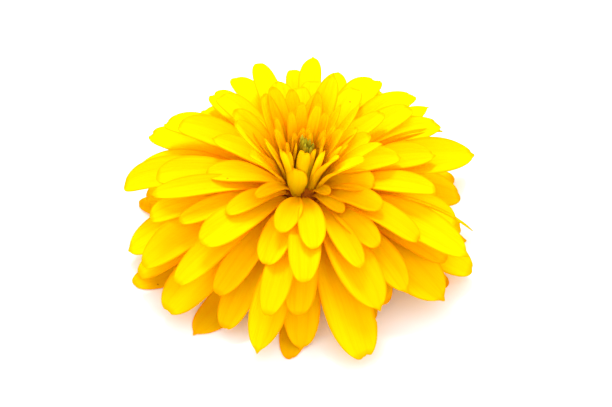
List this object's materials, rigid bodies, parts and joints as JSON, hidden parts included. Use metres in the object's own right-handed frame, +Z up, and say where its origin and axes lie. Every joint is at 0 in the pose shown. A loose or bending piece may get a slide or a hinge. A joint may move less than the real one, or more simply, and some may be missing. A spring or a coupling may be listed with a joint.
{
  "type": "pompon chrysanthemum",
  "caption": "Picked double yellow chrysanthemum head, face up, with drooping outer petals in overlapping rows round upright narrow florets, and a short cut stem.",
  "frame": {"origin": "on the surface that the flower rests on, below the middle of its box", "axes": "+Z up, away from the surface; -Y is the side that the head leans towards, where the camera stands; +X is to the camera's right"},
  "size_m": [0.0816, 0.084, 0.0368],
  "materials": {
    "petal": "soft satin petal, bright yellow, slightly see-through, deeper orange in shade",
    "bud": "matt olive-yellow unopened florets",
    "bract": "matt green bracts and stem with fine ribs"
  },
  "bodies": {
    "root": {"ray_florets": "petal", "disc_florets": "bud", "calyx": "bract"}
  },
  "joints": []
}
